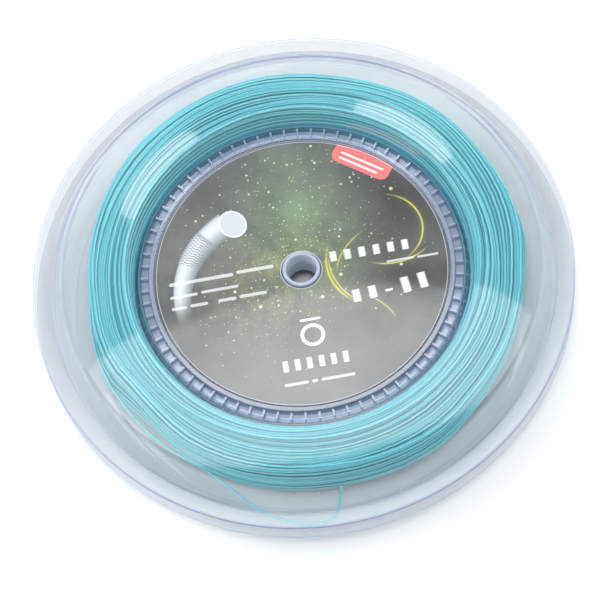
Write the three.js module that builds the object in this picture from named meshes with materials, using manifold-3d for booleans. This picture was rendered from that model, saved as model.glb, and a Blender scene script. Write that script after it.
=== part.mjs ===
// Two-hundred-metre string reel: two clear moulded halves joined back to back at the hub, a printed
// disc on each side, the string wound between the flanges and the loose string end looped out
// through the rim slit. Units are millimetres, +Z is up along the reel's axis, and the reel lies on
// its lower flange with the origin at the centre of its foot.
import * as THREE from 'three';
import { mergeVertices } from 'three/addons/utils/BufferGeometryUtils.js';
import Module from 'manifold-3d';

// ---- driving dimensions -------------------------------------------------------------------
const REEL_R = 80.0;          // outside radius of the lips
const HALF_H = 11.0;          // from the mid-plane to a flange's outer face
const WALL = 1.1;             // moulded wall
const JOINT_GAP = 0.15;       // half of the joint line between the two halves

const BORE_R = 4.5;           // spindle bore
const BOSS_R = 5.6;           // bore tube outside, through the label's hole
const BOSS_TOP = 5.2;         // bore tube's rim, above the mid-plane
const WEB_TOP = 3.7;          // label seat, above the mid-plane
const WEB_T = 1.2;

const LABEL_R = 43.1;
const LABEL_HOLE_R = 6.0;
const LABEL_T = 0.35;
const LABEL_GAP = 0.3;

const RIDGE_R0 = 43.4;        // raised ring round the label
const RIDGE_R1 = 45.3;
const RIDGE_TOP = 5.0;
const GROOVE_R1 = 47.6;       // outer wall of the ribbed groove
const GROOVE_FLOOR = 2.3;
const RIB_COUNT = 72;
const RIB_T = 0.6;
const RIB_TOP = 4.55;
const LEDGE_R = 48.1;         // foot of the recess wall
const LEDGE_Z = 4.8;
const RECESS_R = 50.6;        // recess wall where it meets the flange

const HUB_R = 49.2;           // hub skirt, which the string lies on
const FLANGE_R = 70.0;        // edge of the flat flange
const PINCH_R = 74.4;         // where the two halves come closest
const PINCH_Z = 0.55;         // half of the rim slit
const LIP_Z = 4.45;           // lip's edge, above the mid-plane

const WINDING_R0 = 49.7;
const WINDING_R1 = 65.2;
const WINDING_Z = 9.5;

const STRING_D = 0.7;

const SEGMENTS = 60;

// ---- helpers ------------------------------------------------------------------------------
const wasm = await Module();
wasm.setup();

function bare(geometry) {
  geometry.deleteAttribute('normal');
  geometry.deleteAttribute('uv');
  return mergeVertices(geometry, 1e-4);
}

function volumeOf(geometry) {
  const p = geometry.getAttribute('position');
  const ix = geometry.index;
  const a = new THREE.Vector3(), b = new THREE.Vector3(), c = new THREE.Vector3();
  let v = 0;
  for (let i = 0; i < ix.count; i += 3) {
    a.fromBufferAttribute(p, ix.getX(i));
    b.fromBufferAttribute(p, ix.getX(i + 1));
    c.fromBufferAttribute(p, ix.getX(i + 2));
    v += a.dot(b.cross(c)) / 6;
  }
  return v;
}

function outward(geometry) {
  if (volumeOf(geometry) < 0) {
    const ix = geometry.index;
    for (let i = 0; i < ix.count; i += 3) {
      const t = ix.getX(i);
      ix.setX(i, ix.getX(i + 1));
      ix.setX(i + 1, t);
    }
  }
  return geometry;
}

// A ring of revolution about Z from a closed list of [radius, height].
function revolved(profile, segments = SEGMENTS) {
  const pts = [...profile, profile[0]].map(([r, z]) => new THREE.Vector2(r, z));
  const g = new THREE.LatheGeometry(pts, segments);
  g.rotateX(Math.PI / 2);
  return outward(bare(g));
}

function toSolid(geometry) {
  const p = geometry.getAttribute('position');
  return new wasm.Manifold(new wasm.Mesh({
    numProp: 3,
    vertProperties: new Float32Array(p.array),
    triVerts: new Uint32Array(geometry.index.array),
  }));
}

function fromSolid(solid) {
  const m = solid.getMesh();
  const g = new THREE.BufferGeometry();
  g.setAttribute('position', new THREE.BufferAttribute(new Float32Array(m.vertProperties), 3));
  g.setIndex(new THREE.BufferAttribute(new Uint32Array(m.triVerts), 1));
  return g;
}

function piece(name, geometry, color, roughness, extra = {}) {
  const material = new THREE.MeshStandardMaterial({ color, roughness, metalness: 0, ...extra });
  const mesh = new THREE.Mesh(geometry, material);
  mesh.name = name;
  return mesh;
}

// ---- one moulded half ---------------------------------------------------------------------
// Drawn for the upper half with the mid-plane at z = 0. The lower half is the same moulding turned over.
function reelHalf() {
  const profile = [
    // bore tube and its rim
    [BORE_R, BOSS_TOP],
    [BOSS_R - 0.3, BOSS_TOP],
    [BOSS_R, BOSS_TOP - 0.3],
    [BOSS_R, WEB_TOP],
    // label seat and the raised ring round it
    [RIDGE_R0, WEB_TOP],
    [RIDGE_R0, RIDGE_TOP - 0.25],
    [RIDGE_R0 + 0.25, RIDGE_TOP],
    [RIDGE_R1 - 0.25, RIDGE_TOP],
    [RIDGE_R1, RIDGE_TOP - 0.25],
    // groove that holds the ribs
    [RIDGE_R1, GROOVE_FLOOR],
    [GROOVE_R1, GROOVE_FLOOR],
    [GROOVE_R1, LEDGE_Z],
    [LEDGE_R, LEDGE_Z],
    // recess wall, flange, rim wall
    [RECESS_R - 0.3, HALF_H - 0.8],
    [RECESS_R + 0.6, HALF_H],
    [FLANGE_R - 0.8, HALF_H],
    [FLANGE_R + 0.7, HALF_H - 0.9],
    [PINCH_R - 0.5, 2.2],
    [PINCH_R + 0.2, PINCH_Z + WALL],
    // flared lip
    [REEL_R - 0.5, LIP_Z],
    [REEL_R, LIP_Z - 0.35],
    [REEL_R - 0.15, LIP_Z - 0.9],
    [PINCH_R + 0.9, PINCH_Z + 0.2],
    [PINCH_R - 0.1, PINCH_Z],
    // inside, which faces the string
    [PINCH_R - 1.2, PINCH_Z + 0.95],
    [FLANGE_R - 0.4, HALF_H - WALL - 0.4],
    [FLANGE_R - 1.3, HALF_H - WALL],
    [RECESS_R + 1.6, HALF_H - WALL],
    [RECESS_R + 0.9, HALF_H - WALL - 0.4],
    [HUB_R, LEDGE_Z - 0.3],
    // hub skirt to the joint line, then the underside
    [HUB_R, JOINT_GAP],
    [HUB_R - 1.2, JOINT_GAP],
    [HUB_R - 1.2, GROOVE_FLOOR - WEB_T],
    [RIDGE_R0 + 0.5, GROOVE_FLOOR - WEB_T],
    [RIDGE_R0 + 0.5, WEB_TOP - WEB_T],
    [BOSS_R + 0.4, WEB_TOP - WEB_T],
    [BOSS_R + 0.4, JOINT_GAP],
    [BORE_R, JOINT_GAP],
  ];
  let solid = toSolid(revolved(profile));

  // thin radial ribs that cross the groove
  const r0 = RIDGE_R1 - 0.2;
  const r1 = GROOVE_R1 + 0.15;
  const z0 = GROOVE_FLOOR - 0.2;
  for (let i = 0; i < RIB_COUNT; i++) {
    const rib = new THREE.BoxGeometry(r1 - r0, RIB_T, RIB_TOP - z0);
    rib.translate((r0 + r1) / 2, 0, (z0 + RIB_TOP) / 2);
    rib.rotateZ(((i + 0.5) / RIB_COUNT) * 2 * Math.PI);
    solid = solid.add(toSolid(outward(bare(rib))));
  }
  return fromSolid(solid);
}

// ---- printed disc --------------------------------------------------------------------------
function labelDisc() {
  const z0 = WEB_TOP + LABEL_GAP;
  return revolved([
    [LABEL_HOLE_R, z0 + LABEL_T],
    [LABEL_R, z0 + LABEL_T],
    [LABEL_R, z0],
    [LABEL_HOLE_R, z0],
  ]);
}

// ---- wound string --------------------------------------------------------------------------
function winding() {
  return revolved([
    [WINDING_R0, -4.0],
    [WINDING_R0, 4.0],
    [RECESS_R + 1.6, WINDING_Z - 0.4],
    [RECESS_R + 2.2, WINDING_Z],
    [WINDING_R1 - 2.0, WINDING_Z],
    [WINDING_R1 - 0.5, WINDING_Z - 1.8],
    [WINDING_R1, WINDING_Z - 4.5],
    [WINDING_R1, -WINDING_Z + 4.5],
    [WINDING_R1 - 0.5, -WINDING_Z + 1.8],
    [WINDING_R1 - 2.0, -WINDING_Z],
    [RECESS_R + 2.2, -WINDING_Z],
    [RECESS_R + 1.6, -WINDING_Z + 0.4],
  ]);
}

// ---- loose string end ----------------------------------------------------------------------
// Azimuth in degrees, radius and height above the mid-plane. It leaves the winding along a tangent,
// slips out through the rim slit, turns back inside the lips and runs in again to the winding.
const TAIL = [
  [-129.5, 65.95, 0.3],
  [-124.5, 66.35, 0.3],
  [-120.2, 67.5, 0.2],
  [-116.2, 69.2, 0.1],
  [-111.6, 71.9, 0.05],
  [-107.4, 74.4, 0.0],
  [-102.8, 76.0, -0.5],
  [-98.4, 76.9, -1.0],
  [-95.2, 76.9, -1.15],
  [-92.9, 76.1, -0.8],
  [-91.4, 74.4, -0.05],
  [-90.7, 72.2, -0.6],
  [-90.1, 69.2, -2.2],
  [-89.7, 66.9, -3.6],
  [-89.5, 65.65, -4.2],
];

function stringTail() {
  const path = new THREE.CatmullRomCurve3(TAIL.map(([a, r, z]) => {
    const t = THREE.MathUtils.degToRad(a);
    return new THREE.Vector3(r * Math.cos(t), r * Math.sin(t), z);
  }), false, 'centripetal');
  const shape = new THREE.Shape();
  for (let i = 0; i < 8; i++) {
    const a = (i / 8) * 2 * Math.PI;
    const x = (STRING_D / 2) * Math.cos(a);
    const y = (STRING_D / 2) * Math.sin(a);
    if (i === 0) shape.moveTo(x, y); else shape.lineTo(x, y);
  }
  shape.closePath();
  const g = new THREE.ExtrudeGeometry(shape, { steps: 34, extrudePath: path, bevelEnabled: false });
  return outward(bare(g));
}

// ---- the reel ------------------------------------------------------------------------------
const CLEAR = 0xccd8e2;
const AQUA = 0x86dbe6;
const PRINT = 0x3a3d40;

const half = reelHalf();
const label = labelDisc();

const reel = new THREE.Group();

const upper = new THREE.Group();
upper.position.z = HALF_H;
upper.add(piece('upper_reel_half', half, CLEAR, 0.12, { transparent: true, opacity: 0.35 }));
upper.add(piece('upper_label_disc', label, PRINT, 0.4));
reel.add(upper);

const lower = new THREE.Group();
lower.position.z = HALF_H;
lower.rotation.x = Math.PI;
lower.add(piece('lower_reel_half', half.clone(), CLEAR, 0.12, { transparent: true, opacity: 0.35 }));
lower.add(piece('lower_label_disc', label.clone(), PRINT, 0.4));
reel.add(lower);

const string = new THREE.Group();
string.position.z = HALF_H;
string.add(piece('string_winding', winding(), AQUA, 0.4));
string.add(piece('string_tail', stringTail(), AQUA, 0.4));
reel.add(string);

export default reel;
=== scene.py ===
import math
import bpy
import numpy as np
from mathutils import Matrix, Vector


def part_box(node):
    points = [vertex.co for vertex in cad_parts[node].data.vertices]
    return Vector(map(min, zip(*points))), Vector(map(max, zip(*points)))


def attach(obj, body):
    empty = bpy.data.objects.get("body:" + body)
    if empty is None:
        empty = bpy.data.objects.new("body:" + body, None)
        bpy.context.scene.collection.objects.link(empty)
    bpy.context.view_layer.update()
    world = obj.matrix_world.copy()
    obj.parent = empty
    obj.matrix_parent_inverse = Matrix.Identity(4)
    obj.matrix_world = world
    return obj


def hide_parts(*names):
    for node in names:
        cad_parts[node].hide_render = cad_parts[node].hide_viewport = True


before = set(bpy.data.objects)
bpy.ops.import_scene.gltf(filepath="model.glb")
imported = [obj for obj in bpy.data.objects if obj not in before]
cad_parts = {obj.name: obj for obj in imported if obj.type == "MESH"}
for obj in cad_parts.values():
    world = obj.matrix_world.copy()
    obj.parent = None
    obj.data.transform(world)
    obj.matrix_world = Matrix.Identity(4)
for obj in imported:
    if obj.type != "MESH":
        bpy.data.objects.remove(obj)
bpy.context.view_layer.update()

MM = 0.001
PI = math.pi
scene = bpy.context.scene

# ------------------------------------------------------------------------------------------
# Sizes, in millimetres, as in the CAD model. MID is the reel's mid-plane above its foot.
# ------------------------------------------------------------------------------------------
lo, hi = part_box("upper_reel_half")
REEL_R = hi[0] / MM
TOP = hi[2] / MM
MID = TOP / 2
HALF_H = TOP - MID
STRING_R = 0.35


def link(obj):
    scene.collection.objects.link(obj)
    return obj


def new_mesh(name, verts, quads, smooth=True, sharp_deg=None):
    """A mesh object from an array of points in millimetres and an array of quads."""
    me = bpy.data.meshes.new(name)
    verts = np.asarray(verts, np.float64) * MM
    quads = np.asarray(quads, np.int32)
    n, k = quads.shape
    me.vertices.add(len(verts))
    me.vertices.foreach_set("co", verts.astype(np.float32).ravel())
    me.loops.add(n * k)
    me.loops.foreach_set("vertex_index", quads.ravel())
    me.polygons.add(n)
    me.polygons.foreach_set("loop_start", np.arange(0, n * k, k, dtype=np.int32))
    me.polygons.foreach_set("use_smooth", np.full(n, bool(smooth)))
    me.update(calc_edges=True)
    me.validate()
    if sharp_deg is not None:
        me.set_sharp_from_angle(angle=math.radians(sharp_deg))
    return link(bpy.data.objects.new(name, me))


# ------------------------------------------------------------------------------------------
# Camera: at the photograph's angle, from a pinhole fitted to the reel's circles
# ------------------------------------------------------------------------------------------
def make_camera():
    e, dist, f_px, roll = math.radians(63.575), 640.0, 2177.49, math.radians(10.027)
    pan, tilt = math.radians(-0.1735), math.radians(0.7791)
    c = Vector((0.0, -dist * math.cos(e), dist * math.sin(e)))
    fwd = (-c).normalized()
    right = Vector((1.0, 0.0, 0.0))
    down = fwd.cross(right)
    f2 = (fwd + math.tan(pan) * right + math.tan(tilt) * down).normalized()
    r2 = f2.cross(right).cross(f2).normalized()
    d2 = f2.cross(r2)
    cr, sr = math.cos(roll), math.sin(roll)
    r3 = cr * r2 + sr * d2
    d3 = -sr * r2 + cr * d2
    cam = bpy.data.cameras.new("camera")
    cam.sensor_fit = "HORIZONTAL"
    cam.sensor_width = 36.0
    cam.lens = f_px / 600.0 * 36.0
    cam.clip_start, cam.clip_end = 0.01, 20.0
    ob = link(bpy.data.objects.new("camera", cam))
    m = Matrix.Identity(4)
    for k, axis in enumerate((r3, -d3, -f2)):
        for i in range(3):
            m[i][k] = axis[i]
    c_world = (c + Vector((0.0, 0.0, MID + 4.45))) * MM
    for i in range(3):
        m[i][3] = c_world[i]
    ob.matrix_world = m
    scene.camera = ob
    return ob


make_camera()


# ------------------------------------------------------------------------------------------
# The loose string end. Its route repeats the CAD model's: azimuth, radius, height above MID.
# ------------------------------------------------------------------------------------------
TAIL = [
    (-129.5, 65.95, 0.3), (-124.5, 66.35, 0.3), (-120.2, 67.5, 0.2), (-116.2, 69.2, 0.1),
    (-111.6, 71.9, 0.05), (-107.4, 74.4, 0.0), (-102.8, 76.0, -0.5), (-98.4, 76.9, -1.0),
    (-95.2, 76.9, -1.15), (-92.9, 76.1, -0.8), (-91.4, 74.4, -0.05), (-90.7, 72.2, -0.6),
    (-90.1, 69.2, -2.2), (-89.7, 66.9, -3.6), (-89.5, 65.65, -4.2),
]


def polar(a, r, z):
    t = math.radians(a)
    return np.array([r * math.cos(t), r * math.sin(t), z + MID])


def catmull(points, per):
    """Centripetal Catmull-Rom through the points, `per` samples to a span."""
    p = [np.asarray(q, float) for q in points]
    p = [2 * p[0] - p[1]] + p + [2 * p[-1] - p[-2]]
    out = []
    for i in range(1, len(p) - 2):
        a, b, c, d = p[i - 1], p[i], p[i + 1], p[i + 2]
        t0 = 0.0
        t1 = t0 + np.linalg.norm(b - a) ** 0.5
        t2 = t1 + np.linalg.norm(c - b) ** 0.5
        t3 = t2 + np.linalg.norm(d - c) ** 0.5
        for t in np.linspace(t1, t2, per, endpoint=False):
            A1 = (t1 - t) / (t1 - t0) * a + (t - t0) / (t1 - t0) * b
            A2 = (t2 - t) / (t2 - t1) * b + (t - t1) / (t2 - t1) * c
            A3 = (t3 - t) / (t3 - t2) * c + (t - t2) / (t3 - t2) * d
            B1 = (t2 - t) / (t2 - t0) * A1 + (t - t0) / (t2 - t0) * A2
            B2 = (t3 - t) / (t3 - t1) * A2 + (t - t1) / (t3 - t1) * A3
            out.append((t2 - t) / (t2 - t1) * B1 + (t - t1) / (t2 - t1) * B2)
    out.append(p[-2])
    return np.array(out)


def tube(path, radius, sides, closed_ends=True):
    """Points and quads of a round tube along a path, with parallel-transported rings. Also gives each point's
    length along the path and its turn round the tube."""
    path = np.asarray(path, float)
    n = len(path)
    t = np.gradient(path, axis=0)
    t /= np.linalg.norm(t, axis=1)[:, None]
    # every path here runs round Z, so one fixed reference serves as the frame
    ref = np.array([0.0, 0.0, 1.0])
    u = ref - (t @ ref)[:, None] * t
    u /= np.linalg.norm(u, axis=1)[:, None]
    w = np.cross(t, u)
    a = np.arange(sides) / sides * 2 * PI
    rings = path[:, None, :] + radius * (
        np.cos(a)[None, :, None] * u[:, None, :] + np.sin(a)[None, :, None] * w[:, None, :]
    )
    verts = rings.reshape(-1, 3)
    i = np.arange(n - 1)[:, None] * sides
    j = np.arange(sides)[None, :]
    jn = (j + 1) % sides
    quads = np.stack([i + j, i + jn, i + sides + jn, i + sides + j], -1).reshape(-1, 4)
    along = np.r_[0, np.cumsum(np.linalg.norm(np.diff(path, axis=0), axis=1))]
    return verts, quads, np.repeat(along, sides), np.tile(a, n)


def make_tail():
    pts = catmull([polar(*p) for p in TAIL], 6)
    sides = 10
    verts, quads, along, around = tube(pts, STRING_R, sides)
    n = len(verts)
    verts = np.vstack([verts, pts[0], pts[-1]])
    ob = new_mesh("string_tail_end", verts, quads)
    # round caps: a fan at each end
    me = ob.data
    import bmesh
    bm = bmesh.new()
    bm.from_mesh(me)
    bm.verts.ensure_lookup_table()
    for k in range(sides):
        k2 = (k + 1) % sides
        bm.faces.new([bm.verts[n], bm.verts[k2], bm.verts[k]])
        bm.faces.new([bm.verts[n + 1], bm.verts[n - sides + k], bm.verts[n - sides + k2]])
    bmesh.ops.recalc_face_normals(bm, faces=bm.faces)
    for f in bm.faces:
        f.smooth = True
    bm.to_mesh(me)
    bm.free()
    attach(ob, "root")
    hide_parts("string_tail")
    return ob


tail = make_tail()


# ------------------------------------------------------------------------------------------
# Node helpers
# ------------------------------------------------------------------------------------------
class Nodes:
    """A little help for writing node trees."""

    def __init__(self, name):
        self.mat = bpy.data.materials.new(name)
        self.mat.use_nodes = True
        self.nt = self.mat.node_tree
        self.nt.nodes.clear()
        self.out = self.nt.nodes.new("ShaderNodeOutputMaterial")
        self.x = 0

    def node(self, kind, **props):
        n = self.nt.nodes.new(kind)
        self.x += 1
        n.location = (-200 * (self.x % 12), -160 * (self.x // 12))
        for k, v in props.items():
            setattr(n, k, v)
        return n

    def link(self, a, b):
        self.nt.links.new(a, b)

    def put(self, socket, value):
        if hasattr(value, "is_output") or isinstance(value, bpy.types.NodeSocket):
            self.link(value, socket)
        else:
            socket.default_value = value

    def math(self, op, a, b=None, c=None, clamp=False):
        n = self.node("ShaderNodeMath", operation=op, use_clamp=clamp)
        for s, v in zip(n.inputs, (a, b, c)):
            if v is not None:
                self.put(s, v)
        return n.outputs[0]

    def add(self, a, b): return self.math("ADD", a, b)
    def sub(self, a, b): return self.math("SUBTRACT", a, b)
    def mul(self, a, b): return self.math("MULTIPLY", a, b)
    def div(self, a, b): return self.math("DIVIDE", a, b)
    def maxi(self, a, b): return self.math("MAXIMUM", a, b)
    def mini(self, a, b): return self.math("MINIMUM", a, b)
    def absv(self, a): return self.math("ABSOLUTE", a)

    def ramp(self, fac, stops, mode="LINEAR"):
        n = self.node("ShaderNodeValToRGB")
        n.color_ramp.interpolation = mode
        els = n.color_ramp.elements
        while len(els) < len(stops):
            els.new(0.5)
        for e, (p, c) in zip(els, stops):
            e.position = p
            e.color = (*c, 1.0) if len(c) == 3 else c
        self.put(n.inputs[0], fac)
        return n.outputs[0]

    def smooth(self, x, a, b):
        """0 below a and 1 above b, smooth between; a > b turns it round."""
        n = self.node("ShaderNodeMapRange", interpolation_type="SMOOTHSTEP")
        self.put(n.inputs["Value"], x)
        if a < b:
            n.inputs["From Min"].default_value, n.inputs["From Max"].default_value = a, b
            n.inputs["To Min"].default_value, n.inputs["To Max"].default_value = 0.0, 1.0
        else:
            n.inputs["From Min"].default_value, n.inputs["From Max"].default_value = b, a
            n.inputs["To Min"].default_value, n.inputs["To Max"].default_value = 1.0, 0.0
        return n.outputs["Result"]

    def mix(self, fac, a, b, blend="MIX"):
        n = self.node("ShaderNodeMix", data_type="RGBA", blend_type=blend)
        n.clamp_factor = True
        self.put(n.inputs[0], fac)
        for s, v in ((n.inputs[6], a), (n.inputs[7], b)):
            if isinstance(v, tuple) and len(v) == 3:
                v = (*v, 1.0)
            self.put(s, v)
        return n.outputs[2]

    def coords(self):
        """Object coordinates in millimetres."""
        c = self.node("ShaderNodeTexCoord")
        v = self.node("ShaderNodeVectorMath", operation="SCALE")
        self.link(c.outputs["Object"], v.inputs[0])
        v.inputs["Scale"].default_value = 1000.0
        return v.outputs[0]

    def split(self, v):
        n = self.node("ShaderNodeSeparateXYZ")
        self.link(v, n.inputs[0])
        return n.outputs[0], n.outputs[1], n.outputs[2]

    def vec(self, x, y, z):
        n = self.node("ShaderNodeCombineXYZ")
        for s, v in zip(n.inputs, (x, y, z)):
            self.put(s, v)
        return n.outputs[0]

    def noise(self, v, scale, detail=2.0, rough=0.5, dim="3D"):
        n = self.node("ShaderNodeTexNoise", noise_dimensions=dim)
        self.link(v, n.inputs["Vector"])
        n.inputs["Scale"].default_value = scale
        n.inputs["Detail"].default_value = detail
        n.inputs["Roughness"].default_value = rough
        return n.outputs[0]

    def bump(self, height, strength, distance=0.0001):
        n = self.node("ShaderNodeBump")
        n.inputs["Strength"].default_value = strength
        n.inputs["Distance"].default_value = distance
        self.put(n.inputs["Height"], height)
        return n.outputs[0]


# ------------------------------------------------------------------------------------------
# Clear plastic
# ------------------------------------------------------------------------------------------
def clear_plastic(name, tint_stops, haze=0.010, rough=0.035, haze_colour=(0.80, 0.87, 0.95), ior=1.75,
                  bumpy=0.10, one_sided=False, painted_light_haze_stops=None, deep=None):
    """Clear polystyrene as a pair of skins: each skin tints what shows through it, more at a grazing angle, and the
    outer face of each wall has the gloss of both its faces. Rays aren't bent, so the inner face has no gloss, as it
    would show a total reflection that real plastic doesn't have."""
    m = Nodes(name)
    v = m.coords()
    x, y, z = m.split(v)
    r = m.math("SQRT", m.add(m.mul(x, x), m.mul(y, y)))
    # moulding ripple: faint rings from the tool and a slow waviness
    slow = m.noise(v, 0.035, 2.0)
    rings = m.math("SINE", m.mul(m.add(r, m.mul(slow, 5.0)), 1.3))
    fine = m.noise(v, 1.1, 3.0)
    height = m.add(m.mul(rings, 0.05), m.add(m.mul(slow, 1.6), m.mul(fine, 0.05)))
    normal = m.bump(height, bumpy, 0.0001)
    facing = m.node("ShaderNodeLayerWeight")
    facing.inputs["Blend"].default_value = 0.5
    tint = m.ramp(facing.outputs["Facing"], tint_stops)
    # the tint drifts a little over the moulding
    drift = m.smooth(slow, 0.35, 0.65)
    tint = m.mix(m.mul(drift, 0.35), tint, (0.965, 0.975, 0.985), "MULTIPLY")
    geo = m.node("ShaderNodeNewGeometry")
    front = m.sub(1.0, geo.outputs["Backfacing"])
    # deep darkens a front face further at a grazing angle: painted shade along rims and corners, on top of the tint
    if deep:
        tint = m.mix(m.mul(front, m.smooth(facing.outputs["Facing"], 0.32, 0.50)), tint, deep, "MULTIPLY")
    clear = m.node("ShaderNodeBsdfTransparent")
    m.link(tint, clear.inputs[0])
    milk = m.node("ShaderNodeBsdfDiffuse")
    milk.inputs[0].default_value = (*haze_colour, 1.0)
    # a facing ramp for the milk's colour paints reflection and shade by the viewing angle
    if painted_light_haze_stops:
        m.link(m.ramp(facing.outputs["Facing"], painted_light_haze_stops), milk.inputs[0])
    body = m.node("ShaderNodeMixShader")
    # fine dust and rub marks catch the light here and there
    dust = m.mul(m.smooth(m.noise(v, 0.9, 6.0, 0.75), 0.52, 0.75), 0.018)
    milkiness = m.add(dust, haze)
    m.link(m.mul(milkiness, front) if one_sided else milkiness, body.inputs[0])
    m.link(clear.outputs[0], body.inputs[1])
    m.link(milk.outputs[0], body.inputs[2])
    gloss = m.node("ShaderNodeBsdfGlossy")
    gloss.inputs["Color"].default_value = (1, 1, 1, 1)
    scratch = m.noise(v, 0.6, 4.0, 0.7)
    m.link(m.add(m.mul(m.smooth(scratch, 0.5, 0.8), 0.05), rough), gloss.inputs["Roughness"])
    m.link(normal, gloss.inputs["Normal"])
    fres = m.node("ShaderNodeFresnel")
    fres.inputs["IOR"].default_value = ior
    m.link(normal, fres.inputs["Normal"])
    full = m.node("ShaderNodeMixShader")
    m.link(m.mul(fres.outputs[0], front), full.inputs[0])
    m.link(body.outputs[0], full.inputs[1])
    m.link(gloss.outputs[0], full.inputs[2])
    m.link(full.outputs[0], m.out.inputs["Surface"])
    return m.mat


CLEAR = clear_plastic("clear_moulding", [
    (0.0, (0.955, 0.963, 0.967)),
    (0.45, (0.948, 0.959, 0.965)),
    (0.72, (0.90, 0.92, 0.938)),
    (0.90, (0.74, 0.785, 0.85)),
    (1.0, (0.48, 0.53, 0.72)),
])
# the flared lip has a milkier haze than the flange, and the haze's brightness follows the viewing angle: painted
# reflection and painted shade on the lip. The upper lip's copy is bright where the lip tilts towards the camera and
# grey where it faces it; the lower lip's copy has the ramp turned round.
LIP_TINT = [
    (0.0, (0.890, 0.900, 0.908)),
    (0.35, (0.915, 0.928, 0.936)),
    (0.58, (0.930, 0.942, 0.950)),
    (0.80, (0.88, 0.90, 0.93)),
    (0.92, (0.74, 0.78, 0.86)),
    (1.0, (0.50, 0.55, 0.74)),
]
CLEAR_LIP = clear_plastic("clear_moulding_lip", LIP_TINT, haze=0.17, painted_light_haze_stops=[
    (0.0, (0.40, 0.415, 0.425)),
    (0.14, (0.48, 0.495, 0.505)),
    (0.34, (0.92, 0.965, 0.98)),
])
CLEAR_LIP_LOW = clear_plastic("clear_moulding_lip_low", LIP_TINT, haze=0.17, painted_light_haze_stops=[
    (0.0, (0.82, 0.85, 0.87)),
    (0.14, (0.72, 0.75, 0.77)),
    (0.34, (0.42, 0.435, 0.445)),
])
# the boss round the bore is a thick lavender collar; the bore wall gets a dark slate tint, painted shade for the dim
# inside of the bore
CLEAR_BOSS = clear_plastic("clear_moulding_boss", [
    (0.0, (0.80, 0.83, 0.90)),
    (0.6, (0.66, 0.70, 0.82)),
    (1.0, (0.40, 0.45, 0.62)),
], haze=0.42, rough=0.07, haze_colour=(0.62, 0.67, 0.83), ior=1.5)
CLEAR_BORE = clear_plastic("clear_moulding_bore", [
    (0.0, (0.50, 0.56, 0.62)),
    (0.6, (0.40, 0.46, 0.53)),
    (1.0, (0.28, 0.33, 0.42)),
], haze=0.55, rough=0.12, haze_colour=(0.78, 0.88, 0.97), ior=1.4)
# the groove round the hub: ribs, cell floors and cell walls have deeper tints and blue-grey haze, darkest on the cell
# walls, painted shade for the groove's dark cells
CLEAR_HUB = clear_plastic("clear_moulding_rib", [
    (0.0, (0.89, 0.91, 0.94)),
    (0.5, (0.82, 0.85, 0.91)),
    (1.0, (0.52, 0.58, 0.76)),
], haze=0.26, rough=0.08, haze_colour=(0.52, 0.59, 0.71), ior=1.9, bumpy=0.02)
CLEAR_FLOOR = clear_plastic("clear_moulding_cell_floor", [
    (0.0, (0.86, 0.89, 0.93)),
    (0.5, (0.80, 0.84, 0.90)),
    (1.0, (0.50, 0.57, 0.74)),
], haze=0.36, rough=0.06, haze_colour=(0.66, 0.72, 0.80), ior=2.15, bumpy=0.03)
# dark blue haze on the cell walls: painted shade
CLEAR_BLUE = clear_plastic("clear_moulding_cell_wall", [
    (0.0, (0.80, 0.85, 0.92)),
    (0.6, (0.69, 0.77, 0.88)),
    (1.0, (0.44, 0.53, 0.73)),
], haze=0.34, rough=0.08, haze_colour=(0.25, 0.40, 0.58), ior=1.5, bumpy=0.02, one_sided=True)
# the hub's wall pipes the colour of the string wound on it, and the narrow ridge looks milky
CLEAR_WALL = clear_plastic("clear_moulding_wall", [
    (0.0, (0.86, 0.93, 0.955)),
    (0.6, (0.70, 0.86, 0.90)),
    (1.0, (0.40, 0.62, 0.74)),
], haze=0.22, rough=0.06, haze_colour=(0.22, 0.56, 0.66), ior=1.5)
CLEAR_RIDGE = clear_plastic("clear_moulding_ridge", [
    (0.0, (0.88, 0.90, 0.94)),
    (0.6, (0.80, 0.83, 0.90)),
    (1.0, (0.55, 0.60, 0.76)),
], haze=0.40, rough=0.08, haze_colour=(0.74, 0.79, 0.90), ior=1.45, bumpy=0.02,
    one_sided=True)
# a rim or corner seen along the wall gathers its colour from the longer path through the tinted plastic; its deep
# blue-violet also paints in the shade of the dark surroundings that a real edge refracts
CLEAR_EDGE = clear_plastic("clear_moulding_edge", [
    (0.0, (0.91, 0.918, 0.945)),
    (0.28, (0.86, 0.87, 0.93)),
    (0.52, (0.40, 0.44, 0.86)),
    (0.80, (0.24, 0.29, 0.80)),
    (1.0, (0.22, 0.26, 0.70)),
], haze=0.02, rough=0.05, ior=1.5, deep=(0.46, 0.56, 0.98))
# the lower half's edges are seen through the upper half and look paler
CLEAR_EDGE_PALE = clear_plastic("clear_moulding_edge_pale", [
    (0.0, (0.90, 0.91, 0.94)),
    (0.40, (0.78, 0.80, 0.90)),
    (0.75, (0.62, 0.65, 0.84)),
    (1.0, (0.46, 0.50, 0.74)),
], haze=0.08, rough=0.05, ior=1.6)


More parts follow.
